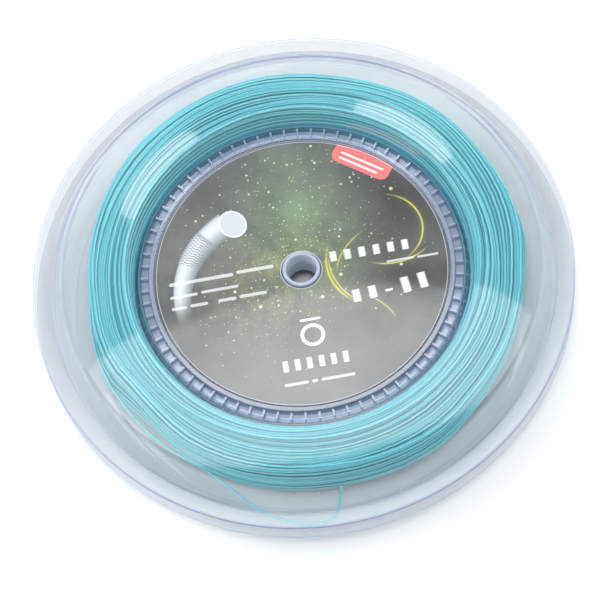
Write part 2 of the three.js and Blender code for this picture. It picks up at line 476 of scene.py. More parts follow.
# ------------------------------------------------------------------------------------------
# The moulded halves: one swept section, with the ribs worked into the columns
# ------------------------------------------------------------------------------------------
def rounded(profile, radii, steps=3, guard=0.12):
    """A closed outline with its corners rounded. radii gives each corner's radius, 0 for a sharp one. A point just
    beside each fillet keeps the flat next to it flat when shaded smooth."""
    out = []
    n = len(profile)
    for i, (p, rad) in enumerate(zip(profile, radii)):
        p = np.array(p, float)
        a = np.array(profile[i - 1], float)
        b = np.array(profile[(i + 1) % n], float)
        if rad <= 0:
            out.append(p)
            continue
        da, db = a - p, b - p
        la, lb = np.linalg.norm(da), np.linalg.norm(db)
        da /= la
        db /= lb
        ang = math.acos(max(-1, min(1, float(da @ db))))
        cut = min(rad / math.tan(ang / 2), 0.46 * la, 0.46 * lb)
        r = cut * math.tan(ang / 2)
        mid = (da + db)
        mid /= np.linalg.norm(mid)
        c = p + mid * (r / math.sin(ang / 2))
        s, e = p + da * cut, p + db * cut
        a0 = math.atan2(*(s - c)[::-1])
        a1 = math.atan2(*(e - c)[::-1])
        d = (a1 - a0 + PI) % (2 * PI) - PI
        if 0.5 * la - cut > guard:
            out.append(s + da * guard)
        for k in range(steps + 1):
            t = a0 + d * k / steps
            out.append(c + r * np.array([math.cos(t), math.sin(t)]))
        if 0.5 * lb - cut > guard:
            out.append(e + db * guard)
    return np.array(out)


WALL = 1.1
BORE_R, BOSS_R, BOSS_TOP, WEB_TOP, WEB_T = 4.5, 5.6, 5.2, 3.7, 1.2
RIDGE_R0, RIDGE_R1, RIDGE_TOP = 43.4, 45.3, 5.0
GROOVE_R1, GROOVE_FLOOR, RIB_TOP = 47.6, 2.3, 4.55
LEDGE_R, LEDGE_Z, RECESS_R, HUB_R = 48.1, 4.8, 50.6, 49.2
FLANGE_R, PINCH_R, PINCH_Z, LIP_Z = 70.0, 74.4, 0.55, 4.45
JOINT = 0.15

SECTION = [  # r, z above MID, corner radius, tag
    (BORE_R, BOSS_TOP, 0.25, ""),
    (BOSS_R, BOSS_TOP, 0.35, ""),
    (BOSS_R, WEB_TOP, 0.0, ""),
    (14.0, WEB_TOP, 0.0, ""),
    (28.0, WEB_TOP, 0.0, ""),
    (RIDGE_R0, WEB_TOP, 0.0, ""),
    (RIDGE_R0, RIDGE_TOP, 0.4, ""),
    (RIDGE_R1, RIDGE_TOP, 0.35, ""),
    (RIDGE_R1, GROOVE_FLOOR, 0.0, "floor"),
    (GROOVE_R1, GROOVE_FLOOR, 0.0, "floor"),
    (GROOVE_R1, LEDGE_Z, 0.25, ""),
    (LEDGE_R, LEDGE_Z + 0.1, 0.5, ""),
    (RECESS_R, HALF_H, 1.1, ""),
    (60.0, HALF_H, 0.0, ""),
    (FLANGE_R + 0.45, HALF_H, 1.6, ""),
    (PINCH_R - 0.05, PINCH_Z + WALL - 0.1, 1.1, ""),
    (REEL_R - 0.1, LIP_Z + 0.05, 0.45, ""),
    (REEL_R - 0.05, LIP_Z - 1.05, 0.4, ""),
    (PINCH_R + 0.35, PINCH_Z, 0.5, ""),
    (PINCH_R - 0.75, PINCH_Z, 0.7, ""),
    (FLANGE_R - 0.75, HALF_H - WALL, 1.4, ""),
    (60.0, HALF_H - WALL, 0.0, ""),
    (RECESS_R + 1.15, HALF_H - WALL, 1.0, "hub"),
    (HUB_R, LEDGE_Z - 0.3, 0.8, ""),
    (HUB_R, JOINT, 0.0, ""),
    (HUB_R - 1.2, JOINT, 0.0, ""),
    (HUB_R - 1.2, GROOVE_FLOOR - WEB_T, 0.3, ""),
    (RIDGE_R0 + 0.5, GROOVE_FLOOR - WEB_T, 0.3, ""),
    (RIDGE_R0 + 0.5, WEB_TOP - WEB_T, 0.3, ""),
    (28.0, WEB_TOP - WEB_T, 0.0, ""),
    (14.0, WEB_TOP - WEB_T, 0.0, ""),
    (BOSS_R + 0.4, WEB_TOP - WEB_T, 0.3, ""),
    (BOSS_R + 0.4, JOINT, 0.0, ""),
    (BORE_R, JOINT, 0.0, ""),
]


def half_mesh(name, upper):
    base = [(r, z) for r, z, c, t in SECTION]
    radii = [c for r, z, c, t in SECTION]
    prof = rounded(base, radii)
    # the groove's floor corners, which a rib column lifts to the rib's top
    floor = [i for i, (r, z) in enumerate(prof)
             if abs(z - GROOVE_FLOOR) < 1e-6 and r > RIDGE_R1 - 0.01 and r < GROOVE_R1 + 0.01]
    rib_prof = prof.copy()
    for i in floor:
        rib_prof[i][1] = RIB_TOP
    pitch = 2 * PI / 72
    half = 0.3 / 46.4
    step = 0.02 / 46.4
    cols = []
    for k in range(72):
        c = (k + 0.5) * pitch
        for off, rib in ((-half - step, 0), (-half, 1), (half, 1), (half + step, 0)):
            cols.append((c + off, rib))
        for f in (0.26, 0.50, 0.74):
            cols.append((c + pitch * f, 0))
    na, npf = len(cols), len(prof)
    P = np.zeros((na, npf, 3))
    for i, (a, rib) in enumerate(cols):
        q = rib_prof if rib else prof
        P[i, :, 0] = q[:, 0] * math.cos(a)
        P[i, :, 1] = q[:, 0] * math.sin(a)
        P[i, :, 2] = q[:, 1]
    if not upper:  # the same moulding turned over about X
        P[:, :, 1] *= -1
        P[:, :, 2] *= -1
    P[:, :, 2] += MID
    i = np.arange(na)[:, None]
    j = np.arange(npf)[None, :]
    i2, j2 = (i + 1) % na, (j + 1) % npf
    quads = np.stack([i * npf + j, i2 * npf + j, i2 * npf + j2, i * npf + j2], -1).reshape(-1, 4)
    ob = new_mesh(name, P.reshape(-1, 3), quads)
    import bmesh
    bm = bmesh.new()
    bm.from_mesh(ob.data)
    bmesh.ops.recalc_face_normals(bm, faces=bm.faces)
    if sum(f.calc_center_median().to_tuple()[2] * f.normal.z * f.calc_area() for f in bm.faces) < 0:
        bmesh.ops.reverse_faces(bm, faces=bm.faces)
    bm.to_mesh(ob.data)
    bm.free()
    ob.data.polygons.foreach_set("use_smooth", np.full(len(ob.data.polygons), True))
    ob.data.set_sharp_from_angle(angle=math.radians(32))
    # the groove and the recess wall's foot have the deeper tint; in the groove it is painted shade for the dark cells
    me = ob.data
    me.materials.append(CLEAR)
    me.materials.append(CLEAR_HUB)
    me.materials.append(CLEAR_EDGE if upper else CLEAR_EDGE_PALE)
    me.materials.append(CLEAR_WALL)
    me.materials.append(CLEAR_RIDGE)
    me.materials.append(CLEAR_LIP if upper else CLEAR_LIP_LOW)
    me.materials.append(CLEAR_BOSS)
    me.materials.append(CLEAR_BORE)
    me.materials.append(CLEAR_FLOOR)
    me.materials.append(CLEAR_BLUE)
    cen = np.empty(len(me.polygons) * 3, np.float32)
    me.polygons.foreach_get("center", cen)
    cen = cen.reshape(-1, 3) / MM
    r = np.hypot(cen[:, 0], cen[:, 1])
    z = np.abs(cen[:, 2] - MID)
    slot = np.zeros(len(r), np.int32)
    slot[(r > RIDGE_R1 - 0.2) & (r < GROOVE_R1 + 0.2) & (z < LEDGE_Z + 0.3)] = 1
    nrm = np.empty(len(me.polygons) * 3, np.float32)
    me.polygons.foreach_get("normal", nrm)
    nrm = nrm.reshape(-1, 3)
    outward = (nrm[:, 0] * cen[:, 0] + nrm[:, 1] * cen[:, 1]) / np.maximum(r, 0.1)
    slot[(r > RIDGE_R0 + 0.3) & (r < RIDGE_R1 - 0.1) & (z > RIDGE_TOP - 0.15)] = 1
    slot[(r > RIDGE_R1) & (r < GROOVE_R1) & (np.abs(z - GROOVE_FLOOR) < 0.05)] = 8
    slot[(np.abs(r - GROOVE_R1) < 0.06) & (z > GROOVE_FLOOR) & (z < LEDGE_Z - 0.25)] = 9
    slot[(np.abs(r - RIDGE_R1) < 0.06) & (z > GROOVE_FLOOR) & (z < RIDGE_TOP - 0.2) & (outward > 0.6)] = 9
    slot[(np.abs(r - RIDGE_R0) < 0.06) & (z > WEB_TOP) & (z < RIDGE_TOP - 0.2)] = 4
    slot[(r > GROOVE_R1 + 0.1) & (r < HUB_R + 0.9) & (z < LEDGE_Z + 2.5)] = 3
    slot[r > PINCH_R + 0.25] = 5
    slot[r > REEL_R - 0.62] = 2
    slot[(np.abs(r - PINCH_R) < 0.22) & (z > PINCH_Z + 0.4)] = 2
    slot[((np.abs(r - RIDGE_R1) < 0.12) | (np.abs(r - GROOVE_R1 - 0.10) < 0.22)) & (z > LEDGE_Z - 0.25)] = 2
    slot[r < BOSS_R + 0.5] = 6
    # the bore wall takes the dark slate tint painted as the bore's shade
    slot[(r < BORE_R + 0.05) & (np.abs(nrm[:, 2]) < 0.6)] = 7
    me.polygons.foreach_set("material_index", slot)
    me.update()
    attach(ob, "root")
    return ob


upper = half_mesh("upper_clear_half", True)
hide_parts("upper_reel_half")
lower = half_mesh("lower_clear_half", False)
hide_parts("lower_reel_half")


# ------------------------------------------------------------------------------------------
# The wound string: the whole 200 m in its turns
# ------------------------------------------------------------------------------------------
def build_winding():
    rng = np.random.default_rng(7)
    per = 64                        # points to a turn
    pitch_r = 0.610                 # the layers nest, so they rise by less than a diameter
    r_first = 50.0
    turns, zb, rb, lay = [], [], [], []
    target = 200000.0
    side = 1
    u_list, r_list, z_list, edge_list, layer_list = [], [], [], [], []
    total = 0.0
    j = 0
    while True:
        r = r_first + j * pitch_r
        zmax = 8.75 if r > 52.6 else 4.6 + (r - 49.9) * (8.75 - 4.6) / 2.7
        if r > 52.6:
            zmax -= 0.6 * rng.uniform(0.0, 1.0) ** 1.8
        n = max(6.0, 2 * zmax / 0.70)
        if total + n * 2 * PI * r > target - 6 * 2 * PI * 65.0:
            n = (target - 6 * 2 * PI * 65.0 - total) / (2 * PI * r)
            last = True
        else:
            last = False
        m = int(round(n * per))
        f = (np.arange(m) + 0.5) / m
        z = side * (-zmax + 2 * zmax * f)
        if last:
            full = 2 * zmax / 0.70
            z = side * (-zmax + 2 * zmax * f * n / full)
        r_list.append(np.full(m, r))
        z_list.append(z)
        layer_list.append(np.full(m, j))
        total += n * 2 * PI * r
        side = -side
        j += 1
        if last:
            break
    # the last six turns lie loose on the outside
    m = 6 * per
    f = (np.arange(m) + 0.5) / m
    r_list.append(np.full(m, r + pitch_r * 0.9))
    z_list.append(z[-1] * (1 - f) ** 2 + 5.5 * np.sin(f * 2 * PI * 1.3) * (1 - f) + 0.3 * f)
    layer_list.append(np.full(m, j))
    r = np.concatenate(r_list)
    z = np.concatenate(z_list)
    L = np.concatenate(layer_list)
    N = len(r)
    u = np.arange(N) / per                     # turns from the start
    end = math.radians(-129.5)
    theta = (u - u[-1]) * 2 * PI + end
    # smooth the steps from layer to layer over a third of a turn
    k = per // 3
    win = np.hanning(2 * k + 1)
    win /= win.sum()
    r = np.convolve(np.r_[np.full(k, r[0]), r, np.full(k, r[-1])], win, "valid")
    z = np.convolve(np.r_[np.full(k, z[0]), z, np.full(k, z[-1])], win, "valid")

    def wander(freqs, seed):
        g = np.random.default_rng(seed)
        s = np.zeros(N)
        for fr in freqs:
            s += np.sin(2 * PI * (fr * u + g.random())) * g.uniform(0.6, 1.0)
        return s / len(freqs) ** 0.5

    slow = wander([0.037, 0.061, 0.113, 0.171], 1)
    def field(ks, c, seed):
        """A smooth wander in azimuth that drifts from layer to layer, so neighbours run almost together."""
        g = np.random.default_rng(seed)
        out = np.zeros(N)
        for k in ks:
            ph, amp = g.uniform(0, 2 * PI), g.uniform(0.6, 1.0)
            out += amp * np.sin(k * theta + ph + c * g.uniform(0.7, 1.3) * r + 0.05 * z)
        return out / len(ks) ** 0.5

    w_r = field([1, 2, 3, 5], 0.8, 2)
    w_z = field([1, 2, 4], 1.1, 3)
    x_r = wander([0.43, 0.71, 1.37], 4)
    x_z = wander([0.57, 0.83, 1.61], 5)
    edge = np.clip((np.abs(z) - 6.4) / 1.6, 0, 1) ** 1.5          # near a flange
    out = np.clip((L - (j - 3.5)) / 3.0, 0, 1)                     # the outer layers
    dr = 0.10 * w_r + 0.10 * x_r + edge * (0.40 * w_r + 0.36 * x_r)
    dz = 0.12 * w_z + 0.10 * x_z + edge * (0.18 * w_z - 0.20 * x_z * np.sign(z)) + out * (1.3 * x_z + 0.6 * w_z)
    dr += out * (0.30 * x_r * (L < j) + 0.15 * w_r)
    # the pack isn't quite round: it stands proud on some sides
    bump10 = [-0.23, -0.01, -0.16, 0.46, 1.28, 1.43, 0.93, 0.35, 0.48, 0.87, 0.99, 0.88, 0.60, 0.16, -0.58, -1.27, -1.78, -1.94, -1.98, -1.06, -0.72, -2.44, -1.74, -0.26, 0.42, 0.70, 0.73, 0.80, 1.07, 1.49, 1.46, 0.36, 0.33, 0.23, -0.24, -0.81]
    knots = np.array(bump10 + bump10[:1])
    shape = np.interp(np.degrees(theta) % 360.0, np.arange(0, 361, 10), knots)
    grow = np.clip((r - 54.0) / 10.0, 0, 1)
    r = r + dr + shape * grow
    z = z + dz
    # loose outer turns
    t = (u - (u[-1] - 6)) / 6.0
    loose = np.clip(t, 0, 1)
    bulge = lambda c, w: np.exp(-(((theta - math.radians(c) + PI) % (2 * PI) - PI) / math.radians(w)) ** 2)
    r = r + (t > 0) * np.sin(PI * np.clip(t, 0, 1)) * (1.9 * bulge(2, 17) + 1.9 * bulge(-160, 12))
    # keep inside the moulding
    floor_r = np.where(np.abs(z) < 4.2, 49.75, 49.75 + (np.abs(z) - 4.2) * 0.46)
    r = np.maximum(r, floor_r)
    zl = 9.42
    z = np.clip(z, -zl, zl)
    # the end comes round to where the loose end leaves
    tail_r, tail_z = 65.95, 0.3
    q = np.clip((u - (u[-1] - 0.22)) / 0.22, 0, 1)
    q = q * q * (3 - 2 * q)
    r = r * (1 - q) + tail_r * q
    z = z * (1 - q) + tail_z * q
    path = np.stack([r * np.cos(theta), r * np.sin(theta), z + MID], -1)
    length = np.linalg.norm(np.diff(path, axis=0), axis=1).sum()
    return path, L, j, length, per


def add_float(me, name, values):
    a = me.attributes.new(name, "FLOAT", "POINT")
    a.data.foreach_set("value", np.asarray(values, np.float32))


def string_material():
    m = Nodes("aqua_string")
    v = m.coords()
    al = m.node("ShaderNodeAttribute", attribute_name="along")
    ar = m.node("ShaderNodeAttribute", attribute_name="around")
    along, around = al.outputs["Fac"], ar.outputs["Fac"]
    # the braided sheath: two sets of fine helices under a clear coat
    a = m.math("SINE", m.add(m.mul(along, 5.2), m.mul(around, 4.0)))
    b = m.math("SINE", m.sub(m.mul(along, 5.2), m.mul(around, 4.0)))
    braid = m.mul(a, b)
    patch = m.noise(m.vec(m.mul(along, 0.02), m.mul(around, 0.1), 0.0), 1.0, 2.0)
    turn = m.noise(m.vec(m.mul(along, 0.0034), 0.0, 7.0), 1.0, 1.0)
    col = m.mix(m.smooth(turn, 0.3, 0.7), (0.062, 0.520, 0.605), (0.260, 0.785, 0.840))
    col = m.mix(m.mul(m.smooth(patch, 0.4, 0.75), 0.35), col, (0.42, 0.83, 0.87))
    col = m.mix(m.mul(m.smooth(braid, 0.2, 0.9), 0.18), col, (0.06, 0.42, 0.50))
    p = m.node("ShaderNodeBsdfPrincipled")
    m.link(col, p.inputs["Base Color"])
    m.link(m.add(m.mul(patch, 0.14), 0.26), p.inputs["Roughness"])
    p.inputs["Subsurface Weight"].default_value = 0.0
    p.inputs["IOR"].default_value = 1.5
    p.inputs["Coat Weight"].default_value = 0.15
    p.inputs["Coat Roughness"].default_value = 0.18
    m.link(m.bump(m.mul(braid, 1.0), 0.25, 0.00002), p.inputs["Normal"])
    glow = m.node("ShaderNodeBsdfTranslucent")
    m.link(col, glow.inputs[0])
    both = m.node("ShaderNodeMixShader")
    both.inputs[0].default_value = 0.30
    m.link(p.outputs[0], both.inputs[1])
    m.link(glow.outputs[0], both.inputs[2])
    m.link(both.outputs[0], m.out.inputs["Surface"])
    return m.mat


STRING = string_material()
path, L, last_layer, wound, PER = build_winding()
print("wound length %.1f mm, %d layers, outer radius %.1f" % (wound, last_layer + 1, np.hypot(path[:, 0], path[:, 1]).max()))


def strand_mesh(name, a, b, sides, stride):
    idx = np.arange(a, b, stride)
    if idx[-1] != b - 1:
        idx = np.r_[idx, b - 1]
    verts, quads, along, around = tube(path[idx], STRING_R, sides)
    ob = new_mesh(name, verts, quads)
    add_float(ob.data, "along", along + a * 5.6)
    add_float(ob.data, "around", around)
    ob.data.materials.append(STRING)
    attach(ob, "root")
    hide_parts("string_winding")
    return ob


n = len(path)
cut = int(n * 0.5)
inner = strand_mesh("string_winding_inner_layers", 0, cut + 1, 5, 1)
outer = strand_mesh("string_winding_outer_layers", cut, n, 5, 1)
tail.data.materials.append(STRING)


# ------------------------------------------------------------------------------------------
# Printed discs
# ------------------------------------------------------------------------------------------
def label_material(name):
    """The printed disc: a dark field with a green glow, star specks, a pale braided rod, thin yellow arcs, a coral
    tab, and plain blocks where the real one has words and a mark, under a gloss varnish."""
    m = Nodes(name)
    v = m.coords()
    x, y, z = m.split(v)
    r = m.math("SQRT", m.add(m.mul(x, x), m.mul(y, y)))
    flat = m.vec(x, y, 0.0)

    def gauss(cx, cy, sx, sy, rot=0.0):
        c, q = math.cos(math.radians(rot)), math.sin(math.radians(rot))
        dx, dy = m.sub(x, cx), m.sub(y, cy)
        a = m.div(m.add(m.mul(dx, c), m.mul(dy, q)), sx)
        b = m.div(m.sub(m.mul(dy, c), m.mul(dx, q)), sy)
        return m.math("EXPONENT", m.mul(m.add(m.mul(a, a), m.mul(b, b)), -1.0))

    def block(cx, cy, hx, hy, rot=0.0, soft=0.12, corner=0.25):
        """A filled bar with its corners rounded."""
        c, q = math.cos(math.radians(rot)), math.sin(math.radians(rot))
        dx, dy = m.sub(x, cx), m.sub(y, cy)
        a = m.maxi(m.sub(m.absv(m.add(m.mul(dx, c), m.mul(dy, q))), hx - corner), 0.0)
        b = m.maxi(m.sub(m.absv(m.sub(m.mul(dy, c), m.mul(dx, q))), hy - corner), 0.0)
        d = m.math("SQRT", m.add(m.mul(a, a), m.mul(b, b)))
        return m.smooth(d, corner + soft, corner - soft)

    def word(x0, x1, cy, h, pitch, fill=0.74, rot=0.0, rows=0):
        """Even blocks in place of a printed word: one row of them, or with rows=1 a single plain bar."""
        if rows == 1:
            return block((x0 + x1) / 2, cy, (x1 - x0) / 2, h / 2, rot, 0.1, h / 2.2)
        n = max(1, round((x1 - x0) / pitch))
        pitch = (x1 - x0) / n
        c, q = math.cos(math.radians(rot)), math.sin(math.radians(rot))
        cx = (x0 + x1) / 2
        dx, dy = m.sub(x, cx), m.sub(y, cy)
        u = m.add(m.mul(dx, c), m.mul(dy, q))
        w = m.sub(m.mul(dy, c), m.mul(dx, q))
        row = m.mul(m.smooth(m.absv(w), h / 2 + 0.1, h / 2 - 0.1), m.smooth(m.absv(u), (x1 - x0) / 2 + 0.02, (x1 - x0) / 2 - 0.02))
        f = m.math("FRACT", m.add(m.div(u, pitch), 50.0 + n / 2))
        cell = m.smooth(m.absv(m.sub(f, 0.5)), fill / 2 + 0.09, fill / 2 - 0.06)
        return m.mul(row, cell)

    # field: dark, hazier towards the top, and lighter towards the bottom where a painted reflection of the front
    # softbox is mixed in
    grain = m.noise(flat, 2.4, 4.0, 0.7)
    cloud = m.noise(flat, 0.045, 5.0, 0.6)
    wisps = m.noise(flat, 0.13, 6.0, 0.65)
    col = m.mix(m.smooth(cloud, 0.35, 0.65), (0.075, 0.077, 0.080), (0.120, 0.124, 0.120))
    # painted reflection: a lighter grey over the lower part stands for the front softbox mirrored in the varnish
    col = m.mix(m.mul(gauss(-6, -36, 34, 20), 0.55), col, (0.24, 0.245, 0.25))
    col = m.mix(m.mul(gauss(31, -8, 13, 8, -18), 0.75), col, (0.020, 0.021, 0.024))
    col = m.mix(m.mul(gauss(31, 18, 13, 20, 20), 0.85), col, (0.030, 0.031, 0.034))
    col = m.mix(m.mul(gauss(2, 17, 15, 24), m.add(m.mul(wisps, 0.9), 0.15)), col, (0.112, 0.172, 0.108))
    col = m.mix(m.mul(gauss(2, 20, 5, 6), 0.35), col, (0.21, 0.34, 0.19))
    dust_zone = m.maxi(gauss(-5, -2, 22, 15, 40), m.mul(gauss(0, 20, 24, 20), 0.45))
    col = m.mix(m.mul(m.mul(gauss(-5, 0, 20, 14, 35), m.smooth(wisps, 0.36, 0.66)), 0.50), col, (0.26, 0.28, 0.13))
    col = m.mix(m.mul(m.smooth(grain, 0.4, 0.7), 0.16), col, (0.16, 0.17, 0.15))

    # stars: three sizes
    def stars(scale, r0, r1, keep, zone, tint, strength, seed):
        n = m.node("ShaderNodeTexVoronoi", voronoi_dimensions="2D", feature="F1")
        m.link(m.vec(m.add(x, seed), m.sub(y, seed * 0.37), 0.0), n.inputs["Vector"])
        n.inputs["Scale"].default_value = scale
        n.inputs["Randomness"].default_value = 1.0
        cr, cg, cb = m.split(n.outputs["Color"])
        rad = m.add(m.mul(m.mul(cr, cr), (r1 - r0) * scale), r0 * scale)
        d = m.div(n.outputs["Distance"], rad)
        dot = m.smooth(d, 1.25, 0.35)
        on = m.math("GREATER_THAN", m.mul(zone, 1.0), m.mul(cg, keep * 3.0))
        tinted = m.mix(cb, tint, (0.70, 0.73, 0.60))
        return m.mul(m.mul(dot, on), strength), tinted

    up = m.add(m.mul(gauss(0, 24, 36, 22), 0.9), m.mul(gauss(-4, 0, 30, 26), 0.35))
    for args in ((1.35, 0.10, 0.26, 1.1, dust_zone, (0.42, 0.44, 0.15), 0.42, 3.3),
                 (0.70, 0.14, 0.36, 1.25, m.mul(dust_zone, 0.9), (0.50, 0.50, 0.14), 0.50, 11.0),
                 (0.33, 0.18, 0.40, 1.0, up, (0.50, 0.56, 0.20), 0.55, 29.0),
                 (0.16, 0.34, 0.62, 1.15, up, (0.60, 0.68, 0.32), 0.65, 57.0)):
        mask, tint = stars(*args)
        col = m.mix(mask, col, tint)

    # thin yellow arcs, each part of a ring that fades out towards its ends
    def arc(cx, cy, rad, width, a0, a1, squash=1.0, rot=0.0, strength=0.7, tint=(0.58, 0.54, 0.09)):
        nonlocal col
        c, q = math.cos(math.radians(rot)), math.sin(math.radians(rot))
        dx, dy = m.sub(x, cx), m.sub(y, cy)
        u = m.add(m.mul(dx, c), m.mul(dy, q))
        w = m.div(m.sub(m.mul(dy, c), m.mul(dx, q)), squash)
        d = m.sub(m.math("SQRT", m.add(m.mul(u, u), m.mul(w, w))), rad)
        ang = m.math("ARCTAN2", w, u)
        mid, half = math.radians((a0 + a1) / 2), math.radians(abs(a1 - a0) / 2)
        turn = m.absv(m.math("WRAP", m.sub(ang, mid), PI, -PI))
        fade = m.smooth(turn, half, half * 0.35)
        line = m.math("EXPONENT", m.mul(m.math("POWER", m.div(m.absv(d), width * 0.8), 2.0), -1.0))
        glow = m.mul(m.math("EXPONENT", m.mul(m.absv(d), -1.3)), 0.10)
        col = m.mix(m.mul(m.mul(m.add(line, glow), fade), strength), col, tint)

    arc(26.0, 8.5, 11.6, 0.30, -75, 85)
    arc(27.5, 14.0, 17.0, 0.24, -118, -50, strength=0.75)
    arc(23.0, -0.5, 15.5, 0.34, 150, 238)
    arc(25.5, 0.5, 17.2, 0.22, 165, 240, strength=0.7)
    arc(8.0, -27.0, 18.0, 0.22, 18, 62, strength=0.55)
    arc(40.0, -4.5, 30.0, 0.26, 128, 176, squash=0.62, strength=0.55)

    # pale braided rod: a bent bar that comes up out of the dark and ends in a round face
    ccx, ccy, crad = ROD
    dx, dy = m.sub(x, ccx), m.sub(y, ccy)
    rr = m.math("SQRT", m.add(m.mul(dx, dx), m.mul(dy, dy)))
    ang = m.mul(m.math("ARCTAN2", dy, dx), -1.0)                 # falls from PI at the left to the end face
    ang = m.math("WRAP", ang, 2 * PI, 0.0)                       # PI at the left, grows clockwise to the top
    s_len = m.mul(m.sub(ang, math.radians(ROD_A0)), crad)        # mm along the bar from its hidden end
    total = math.radians(ROD_A1 - ROD_A0) * crad
    f = m.div(s_len, total)
    braid_part = m.mul(m.smooth(f, 0.52, 0.54), m.smooth(f, 0.80, 0.78))
    core_part = m.smooth(f, 0.78, 0.80)
    width = m.add(m.add(2.1, m.mul(f, 2.2)), m.mul(braid_part, 0.22))
    off = m.div(m.sub(rr, crad), width)
    inside = m.smooth(m.absv(off), 1.06, 0.94)
    along = m.mul(m.smooth(f, 0.02, 0.30), m.smooth(f, 1.0, 0.985))
    shade = m.ramp(m.add(m.mul(off, 0.5), 0.5), [
        (0.0, (0.13, 0.15, 0.16)), (0.25, (0.27, 0.30, 0.32)), (0.62, (0.50, 0.53, 0.56)), (0.88, (0.42, 0.45, 0.48)),
        (1.0, (0.24, 0.27, 0.29))])
    p1 = m.math("SINE", m.add(m.mul(s_len, 7.6), m.mul(off, 9.0)))
    p2 = m.math("SINE", m.sub(m.mul(s_len, 7.6), m.mul(off, 9.0)))
    over = m.math("GREATER_THAN", m.math("SINE", m.mul(off, 11.0)), 0.0)
    herring = m.add(m.mul(p1, over), m.mul(p2, m.sub(1.0, over)))
    shade = m.mix(m.mul(braid_part, m.mul(m.smooth(herring, 0.2, -0.8), 0.6)), shade, (0.10, 0.12, 0.13))
    shade = m.mix(m.mul(m.smooth(m.absv(m.sub(f, 0.79)), 0.022, 0.004), 0.6), shade, (0.18, 0.2, 0.22))
    col = m.mix(m.mul(inside, along), col, shade)
    ex, ey, er = ROD_END
    edx, edy = m.sub(x, ex), m.sub(y, ey)
    c, q = math.cos(math.radians(-62)), math.sin(math.radians(-62))
    eu = m.div(m.add(m.mul(edx, c), m.mul(edy, q)), er)
    ew = m.div(m.sub(m.mul(edy, c), m.mul(edx, q)), er * 0.86)
    ed = m.math("SQRT", m.add(m.mul(eu, eu), m.mul(ew, ew)))
    face = m.smooth(ed, 1.03, 0.95)
    face_col = m.mix(m.smooth(ed, 0.80, 0.93), (0.40, 0.42, 0.46), (0.52, 0.55, 0.59))
    col = m.mix(face, col, face_col)

    # plain blocks in place of the words and the mark
    pale = (0.60, 0.62, 0.62)
    K = 0.0746667

    def px(a, b):
        return (a - 600) * K, -(b - 600) * K

    ink = None
    for x0, x1, cy, h, pitch in (
            (76, 332, 567, 26, 25), (346, 494, 562, 26, 25),
            (72, 182, 624, 22, 21), (196, 345, 621, 22, 21),
            (73, 132, 674, 24, 22), (147, 217, 672, 24, 22), (258, 330, 671, 24, 22), (343, 452, 669, 24, 20),
            (935, 1045, 630, 17, 18), (1057, 1142, 632, 17, 18),
            (460, 555, 1078, 22, 20), (567, 590, 1078, 22, 20), (603, 735, 1078, 22, 20)):
        a, b = px(x0, cy), px(x1, cy)
        w = word(a[0], b[0], a[1], h * K * 0.55, pitch * K, rows=1)
        ink = w if ink is None else m.maxi(ink, w)
    ink = m.mul(ink, 0.60)
    for x0, x1, cy, h, pitch, rot in ((704, 1048, 567, 54, 57, -0.5), (452, 735, 1000, 58, 47, 0.0),
                                      (763, 892, 750, 66, 64, 4.0), (957, 1095, 738, 84, 69, 6.0)):
        a, b = px(x0, cy), px(x1, cy)
        ink = m.maxi(ink, m.mul(word(a[0], b[0], a[1], h * K * 0.8, pitch * K, 0.40, rot), 0.85))
    a = px(924, 752)
    ink = m.maxi(ink, block(a[0], a[1], 1.1, 0.32, 4.0))
    a = px(600, 885)
    dx, dy = m.sub(x, a[0]), m.sub(y, a[1])
    d = m.math("SQRT", m.add(m.mul(dx, dx), m.mul(dy, dy)))
    ink = m.maxi(ink, m.smooth(m.absv(m.sub(d, 3.05)), 0.62, 0.40))
    ink = m.maxi(ink, block(a[0], a[1] + 5.0, 3.0, 0.36))
    col = m.mix(ink, col, pale)

    # coral tab at the rim
    c, q = 0.8, -0.6
    u = m.add(m.mul(x, c), m.mul(y, q))
    w = m.add(m.mul(x, -q), m.mul(y, c))
    corner = 2.4
    ta = m.maxi(m.sub(m.absv(m.add(u, 0.6)), 9.3 - corner), 0.0)
    tb = m.maxi(m.sub(m.absv(m.sub(w, 43.0)), 6.3 - corner), 0.0)
    td = m.math("SQRT", m.add(m.mul(ta, ta), m.mul(tb, tb)))
    col = m.mix(m.smooth(td, corner + 0.12, corner - 0.12), col, (0.82, 0.135, 0.135))
    for v0, x0, x1 in ((40.15, -7.6, 6.6), (38.35, -7.4, 5.4)):
        cx, cy = (x0 + x1) / 2 * c + v0 * -q, (x0 + x1) / 2 * q + v0 * c
        hl = (x1 - x0) / 2
        wd = word(cx - hl, cx + hl, cy, 0.55, 1.35, 0.72, math.degrees(math.atan2(q, c)), 1)
        col = m.mix(m.mul(wd, 0.75), col, (0.93, 0.90, 0.90))

    # the cut edges show the white stock
    edge = m.maxi(m.smooth(r, 42.75, 43.0), m.smooth(r, 6.35, 6.12))
    col = m.mix(m.mul(edge, 0.65), col, (0.62, 0.64, 0.68))
    # only the printed face is printed
    geo = m.node("ShaderNodeNewGeometry")
    nx, ny, nz = m.split(geo.outputs["Normal"])
    away = m.absv(m.sub(z, MID))
    under = m.smooth(away, 4.2, 4.05)
    col = m.mix(under, col, (0.74, 0.75, 0.76))
    p = m.node("ShaderNodeBsdfPrincipled")
    m.link(col, p.inputs["Base Color"])
